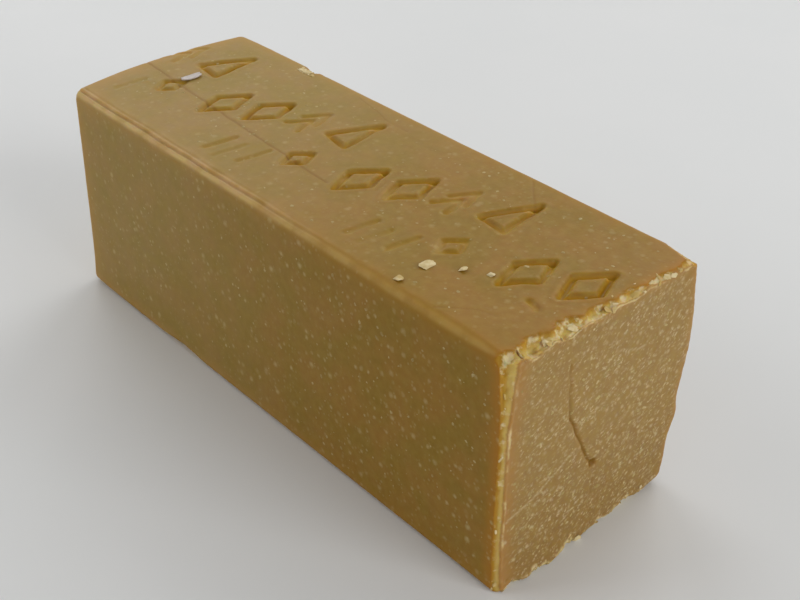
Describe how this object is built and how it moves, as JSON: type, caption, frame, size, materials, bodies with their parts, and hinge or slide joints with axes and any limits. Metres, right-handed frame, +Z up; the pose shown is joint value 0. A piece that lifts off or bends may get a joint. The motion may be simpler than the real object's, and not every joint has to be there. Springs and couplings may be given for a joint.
{
  "type": "rosin cake",
  "caption": "Bare square-section rosin bar with worn edges, plain geometric marks stamped on top and one rough cut end.",
  "frame": {"origin": "centre of the underside, where the bar rests", "axes": "+X along the bar towards the rough cut end, +Y across the bar to the far side, +Z up"},
  "size_m": [0.06, 0.0208, 0.0225],
  "materials": {
    "rosin": "amber-brown cast rosin, waxy and slightly translucent, semi-matt, with amber glow at the edges",
    "pale_grain": "pale straw-coloured grains set in the rosin, dull",
    "rosin_flake": "freshly broken rosin, pale yellow and crumbly",
    "shaving": "thin pale shaving, slightly glossy"
  },
  "bodies": {
    "root": {"rosin_bar": "rosin", "top_grains": "pale_grain", "near_side_grains": "pale_grain", "far_side_grains": "pale_grain", "cut_end_grains": "pale_grain", "moulded_end_grains": "pale_grain", "cut_end_top_flakes": "rosin_flake", "cut_end_bottom_flakes": "rosin_flake", "near_upright_flakes": "rosin_flake", "far_edge_flake": "rosin_flake", "loose_chips": "rosin_flake", "loose_sliver": "shaving"}
  },
  "joints": []
}
